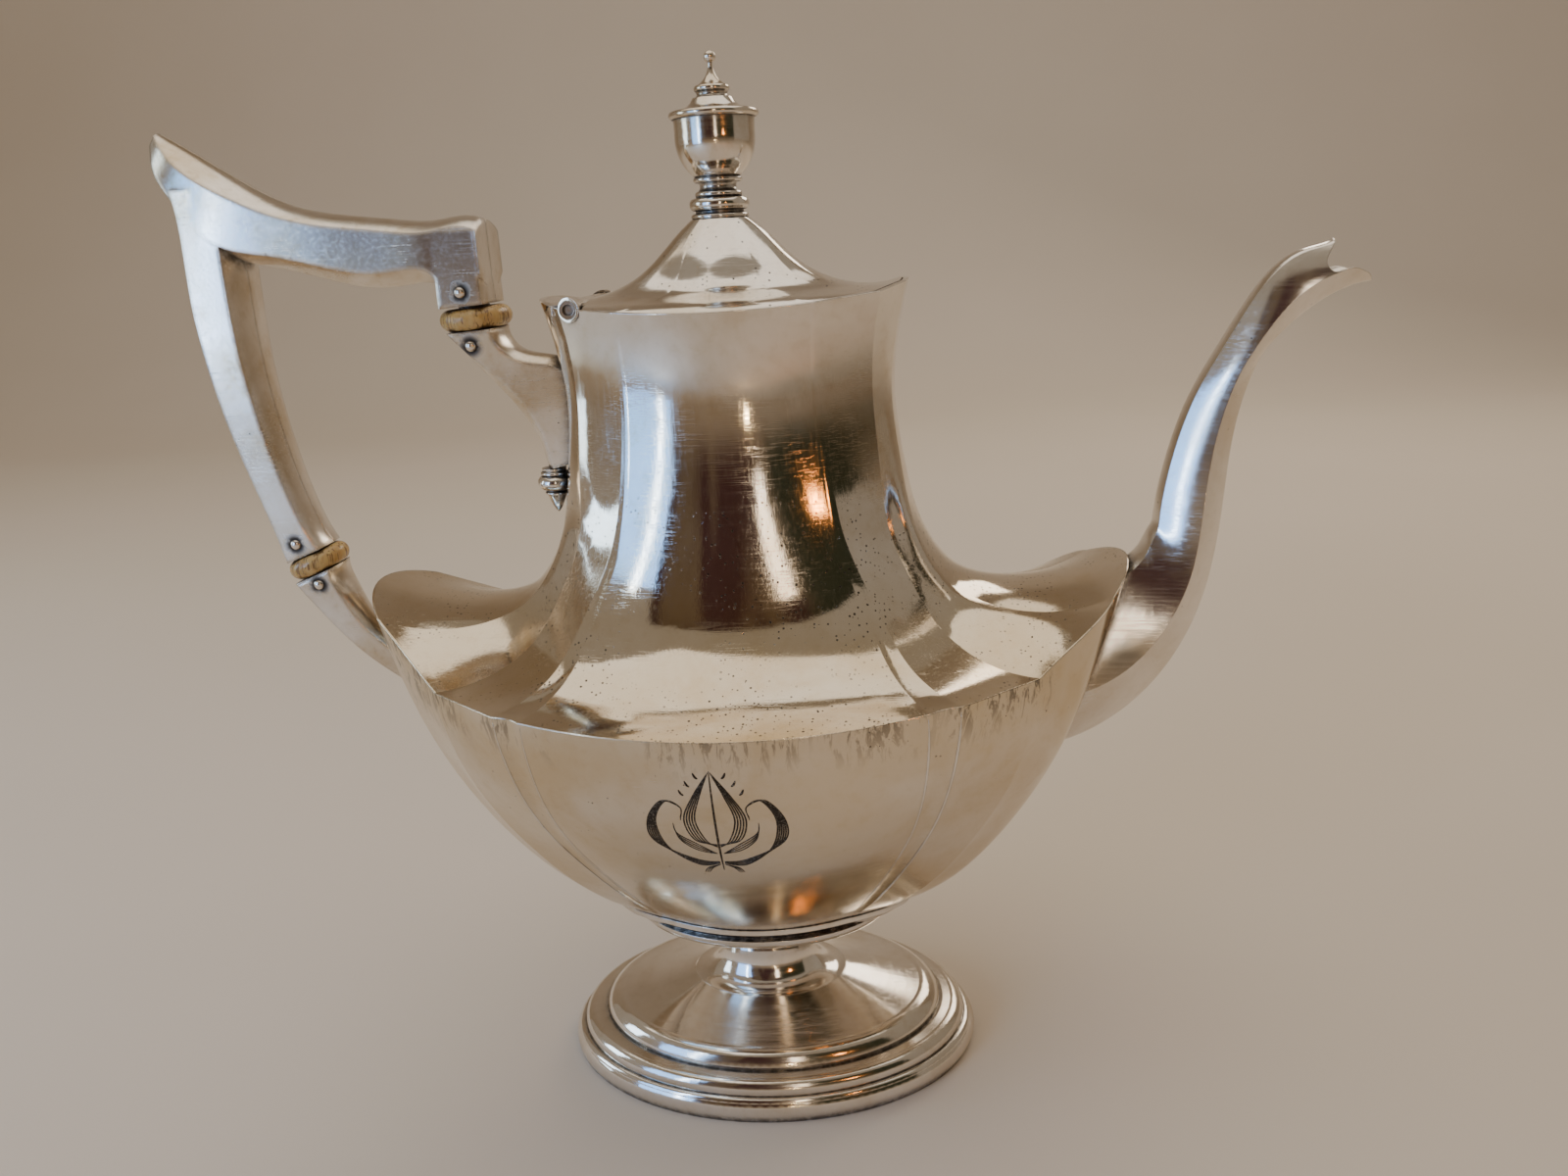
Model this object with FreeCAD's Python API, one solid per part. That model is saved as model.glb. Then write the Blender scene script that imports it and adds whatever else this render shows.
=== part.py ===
import FreeCAD, Part
import math
import os

# Panelled silver coffee pot. Millimetres, +X towards the spout, +Z up.
# The origin is on the pot's upright axis, on the plane that its foot rests on.
# The long plane y = 0 is a plane of symmetry.

# ---- driving dimensions -------------------------------------------------
WALL = 1.2              # gauge of the bowl, neck, foot and sockets
THIN_WALL = 1.0         # gauge of the spout
HANDLE_WALL = 1.5
OVAL = 0.70             # depth over length of the foot, stem and bowl base
BASE_Z = 46.0           # height of the bowl's flat bottom
FINIAL_Z = 213.2        # height of the lid's top, where the finial starts
LID_GAP = 0.45          # gap between the lid's brim and the neck's rim
LID_THICK = 1.1
HINGE_X = -32.3         # hinge axis, which runs along Y
HINGE_Z = 195.8
HINGE_END = 18.4        # half the length of the hinge tube
KNUCKLE_R = 2.0
PIN_R = 1.2
PIN_CLEARANCE = 0.05    # radial running clearance of the pin
KNUCKLE_GAP = 0.2       # gap between neighbouring knuckles
INSULATOR_THICK = 5.0
HANDLE_END = -54.0      # end face of the handle, over the upper insulator
TENON_R = 3.6           # insulator tenons that plug into handle and sockets
TENON_LONG = 4.6
DOWEL_R = 1.05          # rivets that pin the insulators
STRAINER_R = 1.3
FLUTE_DIP = 0.12          # hollow of a flute, as a share of its width
FLUTE_SPANS = (1, 7, 9, 15)

V = FreeCAD.Vector
Y_AXIS = V(0, 1, 0)
Z_AXIS = V(0, 0, 1)


# ---- stations of the panelled body ---------------------------------------
# One station is one level line round the body. It is given on the quarter with
# x > 0 and y < 0, by the middle of the front panel (y, z), the flute between the
# front and diagonal panels (x, y, z, width), the corner between the diagonal and
# end panels (x, y, z), the tip crease on the end panel (x, y, z), the middle of
# the end (x, z), and how sharp flute, corner and tip are, from 0 to 1.
def station(front, flute, corner, tip, end, sharp):
    return {"front": front, "flute": flute, "corner": corner, "tip": tip, "end": end, "sharp": sharp}


SHOULDER = station((-61.5, 112.6), (46.5, -53.5, 114.8, 7.5), (66.9, -36.8, 115.0),
                   (85.4, -20.0, 127.6), (91.6, 132.0), (1.0, 1.0, 0.0))

NECK = [
    station((-29.0, 194.4), (22.0, -24.0, 195.1, 2.0), (35.4, -16.0, 196.3),
            (41.0, -9.0, 197.9), (41.8, 198.2), (0.0, 1.0, 1.0)),
    station((-27.3, 187.5), (21.3, -22.6, 187.7, 2.0), (33.8, -15.4, 188.0),
            (38.8, -8.6, 188.6), (39.6, 188.8), (0.0, 1.0, 0.8)),
    station((-26.3, 176.0), (21.0, -22.0, 176.0, 2.0), (33.0, -15.5, 176.0),
            (37.2, -8.4, 176.0), (38.0, 176.0), (0.0, 1.0, 0.5)),
    station((-27.6, 158.0), (22.4, -23.4, 158.0, 2.2), (34.1, -16.5, 158.0),
            (38.8, -8.8, 158.0), (39.6, 158.0), (0.1, 1.0, 0.2)),
    station((-30.6, 143.5), (25.5, -26.8, 143.0, 2.6), (35.8, -17.4, 143.5),
            (41.6, -9.6, 143.5), (42.8, 143.8), (0.4, 1.0, 0.0)),
    station((-35.6, 130.5), (31.0, -32.0, 130.5, 3.4), (40.4, -20.4, 132.4),
            (46.6, -11.0, 133.4), (48.0, 134.0), (0.8, 1.0, 0.0)),
    station((-43.0, 120.5), (36.3, -39.2, 120.7, 4.6), (46.8, -24.3, 122.2),
            (54.5, -12.5, 126.2), (56.6, 127.6), (1.0, 1.0, 0.0)),
    station((-52.0, 114.8), (41.4, -46.4, 116.2, 6.0), (56.0, -30.2, 116.4),
            (68.5, -16.0, 123.2), (72.6, 126.4), (1.0, 1.0, 0.0)),
    SHOULDER,
]

BOWL = [
    SHOULDER,
    station((-59.8, 99.0), (45.4, -50.4, 100.5, 6.4), (64.4, -35.8, 100.0),
            (80.8, -20.0, 110.0), (85.6, 113.0), (1.0, 1.0, 0.0)),
    station((-54.4, 83.5), (42.0, -44.2, 84.8, 5.2), (59.4, -32.8, 85.5),
            (74.6, -19.2, 92.5), (78.2, 95.0), (1.0, 1.0, 0.0)),
    station((-45.6, 69.0), (36.2, -35.6, 69.8, 4.2), (52.2, -29.0, 72.0),
            (65.8, -17.8, 76.0), (69.0, 77.5), (1.0, 1.0, 0.0)),
    station((-36.8, 57.8), (30.6, -28.4, 58.4, 3.4), (44.6, -24.0, 60.0),
            (55.8, -15.4, 61.8), (58.0, 62.4), (1.0, 1.0, 0.0)),
    station((-29.6, 50.4), (26.2, -22.8, 50.6, 2.8), (37.4, -19.2, 51.3),
            (46.2, -12.2, 51.7), (47.8, 52.0), (0.8, 0.9, 0.0)),
    station((-25.0, BASE_Z), (23.2, -19.4, BASE_Z, 2.4), (31.6, -15.0, BASE_Z),
            (37.4, -8.6, BASE_Z), (39.4, BASE_Z), (0.6, 0.7, 0.0)),
]

# The lid's upper side, from the bell's foot up to the seat of the finial. The
# brim outside it follows the neck's rim.
LID_BELL = [
    station((-19.5, 197.3), (13.0, -17.2, 197.3, 2.0), (22.0, -11.6, 197.9),
            (26.0, -6.4, 198.3), (26.8, 198.4), (0.0, 0.2, 0.0)),
    station((-15.2, 199.6), (10.2, -13.0, 199.7, 1.8), (16.6, -9.0, 200.6),
            (19.4, -4.8, 201.2), (20.0, 201.3), (0.0, 0.5, 0.0)),
    station((-12.6, 204.2), (8.4, -10.4, 204.3, 1.6), (12.6, -7.2, 204.8),
            (14.6, -3.8, 205.1), (15.0, 205.2), (0.0, 0.6, 0.0)),
    station((-9.4, 208.8), (6.4, -7.6, 208.9, 1.4), (9.0, -5.2, 209.2),
            (10.4, -2.8, 209.4), (10.8, 209.5), (0.0, 0.3, 0.0)),
    station((-6.4, FINIAL_Z), (3.9, -5.1, FINIAL_Z, 1.2), (5.5, -3.4, FINIAL_Z),
            (6.2, -1.8, FINIAL_Z), (6.5, FINIAL_Z), (0.0, 0.0, 0.0)),
]


# ---- level lines and smooth panels ---------------------------------------
def lerp(a, b, t):
    return a + (b - a) * t


def quarter_corners(s):
    """Front-side flute edge, diagonal-side flute edge, corner and tip of a station."""
    flute = V(*s["flute"][:3])
    width = s["flute"][3]
    front = V(0, s["front"][0], s["front"][1])
    corner = V(*s["corner"])
    to_front = (front - flute).normalize()
    to_corner = (corner - flute).normalize()
    return [flute + to_front * (width / 2), flute + to_corner * (width / 2), corner, V(*s["tip"])]


def loop_corners(s):
    """All sixteen corners of a level line, in order from the front panel's left end."""
    quarter = quarter_corners(s)
    right = quarter + [V(p.x, -p.y, p.z) for p in reversed(quarter)]
    left = [V(-p.x, p.y, p.z) for p in reversed(right)]
    return [left[-1]] + right + left[:-1]


def panel_sides(s):
    """Middle of each panel's outline on a station, or None where it is nearly straight."""
    front = V(0, s["front"][0], s["front"][1])
    end = V(s["end"][0], 0, s["end"][1])
    back = V(0, -front.y, front.z)
    end_left = V(-end.x, 0, end.z)
    return {0: front, 4: end, 8: back, 12: end_left}


def corner_sharpness(s):
    flute, corner, tip = s["sharp"]
    quarter = [flute, flute, corner, tip]
    right = quarter + quarter[::-1]
    return [flute] + right + quarter[::-1] + quarter[:3]


def level_line(s):
    """Four control points for each of the sixteen panels of a level line."""
    corners = loop_corners(s)
    middles = panel_sides(s)
    sharp = corner_sharpness(s)
    count = len(corners)
    spans = []
    for i in range(count):
        p0 = corners[i]
        p1 = corners[(i + 1) % count]
        before = corners[i - 1]
        after = corners[(i + 2) % count]
        chord = p1 - p0
        bulge = V(0, 0, 0)
        if i in middles:
            bulge = (middles[i] - (p0 + p1) * 0.5) * (4.0 / 3.0)
        if i in FLUTE_SPANS:
            bulge = V(-chord.y, chord.x, 0) * (FLUTE_DIP * s["sharp"][0])
        own0 = p0 + chord * (1.0 / 3.0) + bulge
        own1 = p0 + chord * (2.0 / 3.0) + bulge
        smooth0 = p0 + (p1 - before).normalize() * (chord.Length / 3.0)
        smooth1 = p1 - (after - p0).normalize() * (chord.Length / 3.0)
        spans.append([p0, lerp(smooth0, own0, sharp[i] if i not in middles else 1.0),
                      lerp(smooth1, own1, sharp[(i + 1) % count] if i not in middles else 1.0), p1])
    return spans


def through(points, parameters):
    """Cubic spline through points, as poles, knots and multiplicities."""
    curve = Part.BSplineCurve()
    curve.interpolate(Points=points, Parameters=parameters)
    return curve.getPoles(), curve.getKnots(), curve.getMultiplicities()


def panel(rows, parameters):
    """Surface through level spans: rows run down the pot, four controls run across."""
    columns = [through([row[j] for row in rows], parameters) for j in range(4)]
    knots = columns[0][1]
    mults = columns[0][2]
    poles = [column[0] for column in columns]
    surface = Part.BSplineSurface()
    down_degree = sum(mults) - len(poles[0]) - 1
    surface.buildFromPolesMultsKnots(poles, [4, 4], mults, [0.0, 1.0], knots, False, False, 3, down_degree)
    return surface.toShape()


def down_parameters(lines):
    """Chord-length parameters along the corner crease."""
    crease = [line[3][0] for line in lines]
    lengths = [0.0]
    for a, b in zip(crease, crease[1:]):
        lengths.append(lengths[-1] + (b - a).Length)
    return [value / lengths[-1] for value in lengths]


def skin(lines, parameters):
    """The sixteen panels of one side of a wall."""
    return [panel([line[i] for line in lines], parameters) for i in range(16)]


def ring_faces(line_a, line_b):
    """Ruled strip between two level lines."""
    return [panel([a, b], [0.0, 1.0]) for a, b in zip(line_a, line_b)]


def flat_cap(line):
    """Flat face that fills a level line."""
    edges = []
    for span in line:
        curve = Part.BezierCurve()
        curve.setPoles(span)
        edges.append(curve.toShape())
    return Part.Face(Part.Wire(edges))


def solid_from(faces):
    shell = Part.makeShell(faces)
    shell.sewShape()
    shell = shell.Shells[0]
    solid = Part.Solid(shell)
    if solid.Volume < 0:
        solid.reverse()
    return solid


def shifted(line, radial, lift):
    """A level line moved in towards the axis and up."""
    moved = []
    for span in line:
        points = []
        for p in span:
            reach = math.hypot(p.x, p.y)
            scale = (reach - radial) / reach
            points.append(V(p.x * scale, p.y * scale, p.z + lift))
        moved.append(points)
    return moved


def inner_lines(lines, thickness, outward_z):
    """Lines offset to the inside by the wall, square to the profile of the corner crease."""
    result = []
    for k, line in enumerate(lines):
        above = lines[max(k - 1, 0)][3][0]
        below = lines[min(k + 1, len(lines) - 1)][3][0]
        run = math.hypot(below.x, below.y) - math.hypot(above.x, above.y)
        drop = below.z - above.z
        size = math.hypot(run, drop)
        normal_r = abs(drop) / size
        normal_z = abs(run) / size * outward_z
        result.append(shifted(line, thickness * normal_r, -thickness * normal_z))
    return result


# ---- body ------------------------------------------------------------------
def body_lines():
    neck = [level_line(s) for s in NECK]
    bowl = [level_line(s) for s in BOWL]
    neck_in = inner_lines(neck, WALL, 1.0)
    bowl_in = inner_lines(bowl, WALL, -1.0)
    inner_edge = shifted(neck[-1], 1.9, -1.5)
    neck_in[-1] = inner_edge
    bowl_in[0] = inner_edge
    neck_in[0] = shifted(neck[0], WALL, 0.0)
    bowl_in[-1] = shifted(bowl[-1], WALL, WALL)
    return neck, bowl, neck_in, bowl_in


NECK_LINES, BOWL_LINES, NECK_INNER, BOWL_INNER = body_lines()
NECK_PARAMS = down_parameters(NECK_LINES)
BOWL_PARAMS = down_parameters(BOWL_LINES)


def level_top(line, z):
    return [[V(p.x, p.y, z) for p in span] for span in line]


def body_volume(neck, bowl, top_z):
    """Everything inside the body's skin, carried straight up to top_z."""
    top = level_top(neck[0], top_z)
    faces = skin(neck, NECK_PARAMS) + skin(bowl, BOWL_PARAMS)
    faces += ring_faces(top, neck[0]) + [flat_cap(top), flat_cap(bowl[-1])]
    return solid_from(faces)


def neck_solid():
    faces = skin(NECK_LINES, NECK_PARAMS) + skin(NECK_INNER, NECK_PARAMS)
    faces += ring_faces(NECK_LINES[0], NECK_INNER[0]) + ring_faces(NECK_LINES[-1], NECK_INNER[-1])
    return solid_from(faces)


def bowl_solid():
    faces = skin(BOWL_LINES, BOWL_PARAMS) + skin(BOWL_INNER, BOWL_PARAMS)
    faces += ring_faces(BOWL_LINES[0], BOWL_INNER[0])
    faces += [flat_cap(BOWL_LINES[-1]), flat_cap(BOWL_INNER[-1])]
    return solid_from(faces)


# ---- turned and sectioned pieces -------------------------------------------
def turned(start, moves):
    """Closed profile (radius, height) turned about Z. A move is a point or an arc (via, end)."""
    edges = []
    here = V(start[0], 0, start[1])
    for move in moves + [start]:
        if isinstance(move[0], tuple):
            via = V(move[0][0], 0, move[0][1])
            there = V(move[1][0], 0, move[1][1])
            edges.append(Part.Arc(here, via, there).toShape())
        else:
            there = V(move[0], 0, move[1])
            edges.append(Part.makeLine(here, there))
        here = there
    return Part.Face(Part.Wire(edges)).revolve(V(0, 0, 0), Z_AXIS, 360)


def oval(shape, depth_ratio):
    """Shape squeezed along Y, for the oval foot."""
    matrix = FreeCAD.Matrix()
    matrix.scale(1.0, depth_ratio, 1.0)
    return shape.transformGeometry(matrix)


def rod(radius, start, end):
    axis = end - start
    return Part.makeCylinder(radius, axis.Length, start, axis)


def block(x0, x1, y0, y1, z0, z1):
    return Part.makeBox(x1 - x0, y1 - y0, z1 - z0, V(x0, y0, z0))


def bow(a, b, rise):
    """Edge from a to b that bows out by rise, or a straight one."""
    if rise.Length == 0:
        return Part.makeLine(a, b)
    curve = Part.BezierCurve()
    curve.setPoles([a, (a + b) * 0.5 + rise * 2.0, b])
    return curve.toShape()


def crowned_section(outer, inner, half, crown_out, crown_in, inset=0.0):
    """Four-sided section: flat front and back, crowned outer and inner sides."""
    po = V(outer[0], 0, outer[1])
    pi = V(inner[0], 0, inner[1])
    span = (pi - po).Length
    across = (pi - po).normalize()
    po = po + across * inset
    pi = pi - across * inset
    crown_out = crown_out * (1.0 - 2.0 * inset / span)
    crown_in = crown_in * (1.0 - 2.0 * inset / span)
    side = V(0, half - inset, 0)
    out_edge = po + across * crown_out
    in_edge = pi - across * crown_in
    edges = [Part.makeLine(out_edge - side, in_edge - side),
             bow(in_edge - side, in_edge + side, across * crown_in),
             Part.makeLine(in_edge + side, out_edge + side),
             bow(out_edge + side, out_edge - side, across * -crown_out)]
    return Part.Wire(edges)


def crowned_loft(stations, inset=0.0):
    wires = [crowned_section(*s, inset=inset) for s in stations]
    return Part.makeLoft(wires, True, False)


def faceted_section(back, front, half, inset=0.0):
    """Spout section: narrow back, side creases forward of the middle, narrow nose."""
    pb = V(back[0], 0, back[1])
    pf = V(front[0], 0, front[1])
    along = (pf - pb).normalize()
    pb = pb + along * inset
    pf = pf - along * inset
    depth = (pf - pb).Length
    wide = half - inset
    offsets = [(0.0, -0.42 * wide), (0.58 * depth, -wide), (depth - 0.04 * depth, -0.30 * wide)]
    near = [pb + along * run + V(0, y, 0) for run, y in offsets]
    far = [V(p.x, -p.y, p.z) for p in reversed(near)]
    points = near + far
    nothing = V(0, 0, 0)
    rises = [V(0, -0.05 * wide, 0), V(0, -0.07 * wide, 0), along * (0.04 * depth),
             V(0, 0.07 * wide, 0), V(0, 0.05 * wide, 0), along * (-0.05 * depth)]
    edges = [bow(points[i], points[(i + 1) % 6], rises[i] if wide > 0 else nothing) for i in range(6)]
    return Part.Wire(edges)


def spout_loft(inset):
    wires = [faceted_section(*s, inset=inset) for s in SPOUT]
    return Part.makeLoft(wires, True, False)


# ---- stations of handle, sockets and spout ----------------------------------
# Handle and sockets: outer crown (x, z), inner crown (x, z), half depth, crowns.
HANDLE_TOP = [
    ((-127.4, 238.8), (-129.4, 236.0), 1.9, 0.4, 0.3),
    ((-124.7, 237.0), (-128.6, 231.4), 4.4, 1.6, 0.6),
    ((-120.9, 234.6), (-126.4, 226.4), 6.6, 3.0, 1.0),
    ((-117.0, 232.0), (-123.2, 221.6), 7.8, 3.6, 1.4),
    ((-109.0, 226.8), (-116.4, 212.2), 8.5, 3.2, 2.4),
    ((-99.6, 221.9), (-104.6, 208.0), 8.5, 2.6, 3.2),
    ((-88.0, 219.0), (-90.8, 204.2), 8.5, 2.6, 3.6),
    ((-76.0, 217.4), (-77.2, 202.2), 8.5, 2.6, 3.5),
    ((-65.0, 216.6), (-65.6, 201.4), 8.5, 2.6, 3.3),
    ((-54.0, 216.1), (-54.0, 201.0), 8.5, 2.6, 3.3),
]
HANDLE_BLOCK = [
    ((-65.2, 214.0), (-54.1, 214.0), 8.45, 0.7, 0.7),
    ((-65.2, 206.0), (-54.0, 206.0), 8.45, 0.7, 0.7),
    ((-65.4, 196.9), (-53.8, 197.6), 8.3, 0.7, 0.7),
]
HANDLE_ARM = [
    ((-124.8, 226.0), (-112.4, 226.0), 8.1, 1.5, 1.5),
    ((-123.9, 213.0), (-112.3, 213.0), 8.4, 1.5, 1.5),
    ((-124.3, 200.0), (-112.6, 199.8), 8.3, 1.5, 1.5),
    ((-123.7, 187.6), (-112.4, 186.0), 7.8, 1.5, 1.5),
    ((-121.8, 173.8), (-110.8, 170.8), 7.2, 1.5, 1.5),
    ((-118.4, 158.8), (-107.8, 155.4), 6.7, 1.5, 1.5),
    ((-113.5, 137.55), (-102.6, 141.75), 6.3, 1.4, 1.4),
]
UPPER_SOCKET = [
    ((-65.0, 191.3), (-52.6, 192.1), 8.0, 1.2, 1.2),
    ((-61.8, 186.8), (-51.4, 189.0), 7.3, 1.8, 1.6),
    ((-57.4, 181.0), (-48.4, 186.6), 6.4, 2.4, 2.0),
    ((-52.4, 174.8), (-43.8, 185.4), 5.6, 2.8, 2.2),
    ((-48.6, 169.0), (-38.0, 183.0), 4.9, 2.8, 1.6),
    ((-46.4, 163.4), (-36.6, 172.0), 4.1, 2.2, 1.2),
    ((-45.3, 158.0), (-37.0, 160.0), 3.2, 1.6, 0.8),
]
LOWER_SOCKET = [
    ((-112.2, 132.3), (-101.0, 136.6), 6.3, 1.3, 1.3),
    ((-109.4, 127.0), (-99.4, 130.9), 5.8, 1.8, 1.6),
    ((-105.8, 121.2), (-96.8, 125.4), 5.1, 2.0, 1.8),
    ((-101.6, 115.6), (-93.6, 120.0), 4.4, 2.0, 1.8),
    ((-97.0, 110.8), (-89.6, 115.2), 3.7, 1.8, 1.6),
    ((-92.0, 106.6), (-85.4, 110.6), 2.9, 1.4, 1.2),
    ((-87.0, 103.0), (-81.4, 106.2), 2.0, 0.9, 0.8),
    ((-83.4, 100.4), (-79.2, 102.6), 1.2, 0.4, 0.4),
]
# Spout: back (x, z), front (x, z), half width.
SPOUT = [
    ((83.6, 124.6), (62.0, 82.0), 13.6),
    ((91.0, 128.6), (77.0, 84.4), 13.0),
    ((95.2, 132.8), (93.4, 94.2), 11.4),
    ((97.0, 136.6), (106.0, 111.6), 9.6),
    ((98.2, 140.0), (111.6, 130.6), 8.3),
    ((99.0, 146.6), (113.4, 146.4), 7.5),
    ((101.4, 157.6), (114.8, 160.0), 6.9),
    ((106.0, 170.4), (118.2, 173.4), 6.4),
    ((114.4, 185.4), (123.0, 181.0), 6.0),
    ((123.4, 197.0), (129.0, 186.4), 5.7),
    ((129.0, 199.6), (134.8, 190.0), 5.6),
    ((134.2, 201.2), (142.4, 192.2), 5.5),
]
# Edge of the spout's open mouth (x, z), from the back wall down to the pouring lip.
MOUTH_EDGE = [(133.4, 203.5), (132.8, 199.6), (131.5, 196.4), (132.4, 195.0), (136.2, 195.4),
              (139.4, 194.6), (143.0, 192.8)]
# Insulators: centre (x, z), tilt in degrees about Y, half length, half depth.
UPPER_RING = ((-58.9, 194.3), 3.6, 8.2, 9.8)
LOWER_RING = ((-107.0, 137.2), 21.0, 7.5, 7.9)
DOWELS = [(-59.2, 200.4, 8.5), (-58.6, 188.4, 7.55), (-109.2, 142.8, 6.4), (-105.2, 132.4, 6.2)]


def tilted(shape, ring):
    """Shape made at the origin, tilted and moved to an insulator's centre."""
    placed = shape.copy()
    placed.rotate(V(0, 0, 0), Y_AXIS, -ring[1])
    placed.translate(V(ring[0][0], 0, ring[0][1]))
    return placed


def insulator_solid(ring, half_x, half_y):
    """Rounded ivory collar with a tenon above and below."""
    half = INSULATOR_THICK / 2
    collar = turned((0, -half), [(half_x - half, -half), ((half_x, 0), (half_x - half, half)), (0, half)])
    collar = oval(collar, half_y / half_x)
    reach = half + TENON_LONG
    tenon = rod(TENON_R, V(0, 0, -reach), V(0, 0, reach))
    return tilted(collar.fuse(tenon), ring).cut(dowel_rods())


def tenon_hole(ring):
    reach = INSULATOR_THICK / 2 + TENON_LONG + 0.3
    return tilted(rod(TENON_R + 0.05, V(0, 0, -reach), V(0, 0, reach)), ring)


def slab(ring, low, high):
    """Slab square to an insulator's axis, between two heights above its centre."""
    return tilted(block(-14, 14, -20, 20, low, high), ring)


def dowel_rods():
    """The rivets through collars, handle and sockets."""
    rods = [rod(DOWEL_R, V(x, -half - 0.25, z), V(x, half + 0.25, z)) for x, z, half in DOWELS]
    return Part.makeCompound(rods)


# ---- foot --------------------------------------------------------------------
def foot_ring_solid():
    """Lower moulding of the foot, cut flat where it rests on the table."""
    profile = [(53.4, -1.0), (53.6, 0), ((54.5, 2.4), (53.5, 5.2)), ((52.9, 6.0), (51.9, 6.3)), (49.2, 6.3)]
    ring = oval(turned((49.2, -1.0), profile), OVAL)
    return ring.cut(block(-60, 60, -45, 45, -3, 0))


def foot_step_solid():
    """Second moulding, soldered on top of the first."""
    profile = [(51.6, 6.3), ((50.9, 8.8), (48.2, 9.9)), (46.2, 10.2), (44.2, 10.2)]
    return oval(turned((44.2, 6.3), profile), OVAL)


def foot_dome_solid():
    """Raised upper part of the foot, a shallow cone with a rounded edge."""
    outer = [(45.2, 10.2), (45.2, 11.2), ((43.6, 13.4), (40.0, 14.6)), ((30.0, 16.6), (20.4, 19.4))]
    inner = [(20.4, 18.2), ((30.0, 15.4), (40.0, 13.4)), (43.9, 11.0), (43.9, 10.2)]
    return oval(turned(outer[0], outer[1:] + inner), OVAL)


def foot_stem_solid():
    """Waisted hollow stem between foot and bowl."""
    profile = [((13.6, 22.6), (11.6, 27.6)), ((11.9, 31.0), (14.0, 34.0)),
               (12.8, 34.0), ((10.7, 31.0), (10.4, 27.6)), ((12.6, 22.0), (20.4, 18.2))]
    return oval(turned((20.4, 19.4), profile), OVAL)


def bowl_base_solid():
    """Stepped moulding that carries the bowl on the stem."""
    profile = [(14.0, 34.0), ((24.0, 35.6), (31.5, 39.2)), ((33.4, 40.2), (33.8, 41.8)),
               (0, 41.8), (0, 34.0)]
    cup = oval(turned(profile[0], profile[1:]), OVAL)
    fillet_line = shifted(BOWL_LINES[-1], 3.2, -(BASE_Z - 41.8))
    waist = shifted(BOWL_LINES[-1], 2.6, -2.4)
    lip = shifted(BOWL_LINES[-1], -0.5, -1.3)
    top = shifted(BOWL_LINES[-1], -0.3, 0.0)
    faces = ring_faces(top, lip) + ring_faces(lip, waist) + ring_faces(waist, fillet_line)
    faces += [flat_cap(top), flat_cap(fillet_line)]
    step = solid_from(faces)
    inside = [(12.8, 33.0), (12.8, 35.3), ((22.4, 37.0), (28.6, 40.4)), (28.6, 47.0), (0, 47.0)]
    hollow = turned((0, 33.0), inside)
    return cup.fuse(step).cut(oval(hollow, OVAL))


# ---- lid and hinge --------------------------------------------------------------
def lid_lines(brim_inset):
    bell = [level_line(s) for s in reversed(LID_BELL)]
    brim = shifted(NECK_LINES[0], brim_inset, 0.0)
    outer = bell + [brim]
    inner = inner_lines(outer, LID_THICK, 1.0)
    inner[0] = shifted(outer[0], 0.8, -1.0)
    inner[-1] = shifted(outer[-1], 0.0, -LID_THICK)
    return outer, inner


def cover_solid(brim_inset):
    """Whole top cover, before it is cut to the lid or the hinge plate."""
    outer, inner = lid_lines(brim_inset)
    params = down_parameters(outer)
    faces = skin(outer, params) + skin(inner, params) + ring_faces(outer[-1], inner[-1])
    faces += [flat_cap(outer[0]), flat_cap(inner[0])]
    return solid_from(faces)


def hinge_rod(radius, y0, y1):
    return rod(radius, V(HINGE_X, y0, HINGE_Z), V(HINGE_X, y1, HINGE_Z))


def lid_shell_solid(cover):
    edge_x = HINGE_X + KNUCKLE_R + 0.1
    lid = cover.common(block(edge_x, 60, -40, 40, 180, 230))
    bevel_top = 5.0
    bevel = Part.Face(Part.makePolygon([V(edge_x - 1, -40, HINGE_Z - 0.6), V(edge_x - 1, -40, HINGE_Z + bevel_top),
                                        V(edge_x + bevel_top - 1.4, -40, HINGE_Z + bevel_top),
                                        V(edge_x - 1, -40, HINGE_Z - 0.6)])).extrude(V(0, 80, 0))
    lid = lid.cut(bevel)
    lid = lid.cut(rod(1.55, V(0, 0, FINIAL_Z - 5), V(0, 0, FINIAL_Z + 5)))
    for y0, y1 in ((-22.0, -13.9), (13.9, 22.0)):
        lid = lid.cut(hinge_rod(KNUCKLE_R + 1.0, y0, y1))
    return max(lid.Solids, key=lambda piece: piece.Volume)


def hinge_plate_solid(cover, neck):
    """Fixed end of the cover, soldered into the neck behind the hinge."""
    edge_x = HINGE_X - KNUCKLE_R - 0.15
    plate = cover.common(block(-60, edge_x, -40, 40, 180, 230)).cut(neck)
    return max(plate.Solids, key=lambda piece: piece.Volume)


def knuckle_spans():
    """Five knuckles: ends and middle fixed, the two between them on the lid."""
    cuts = [-HINGE_END, -12.0, -4.0, 4.0, 12.0, HINGE_END]
    return [(a + KNUCKLE_GAP / 2, b - KNUCKLE_GAP / 2) for a, b in zip(cuts, cuts[1:])]


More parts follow.
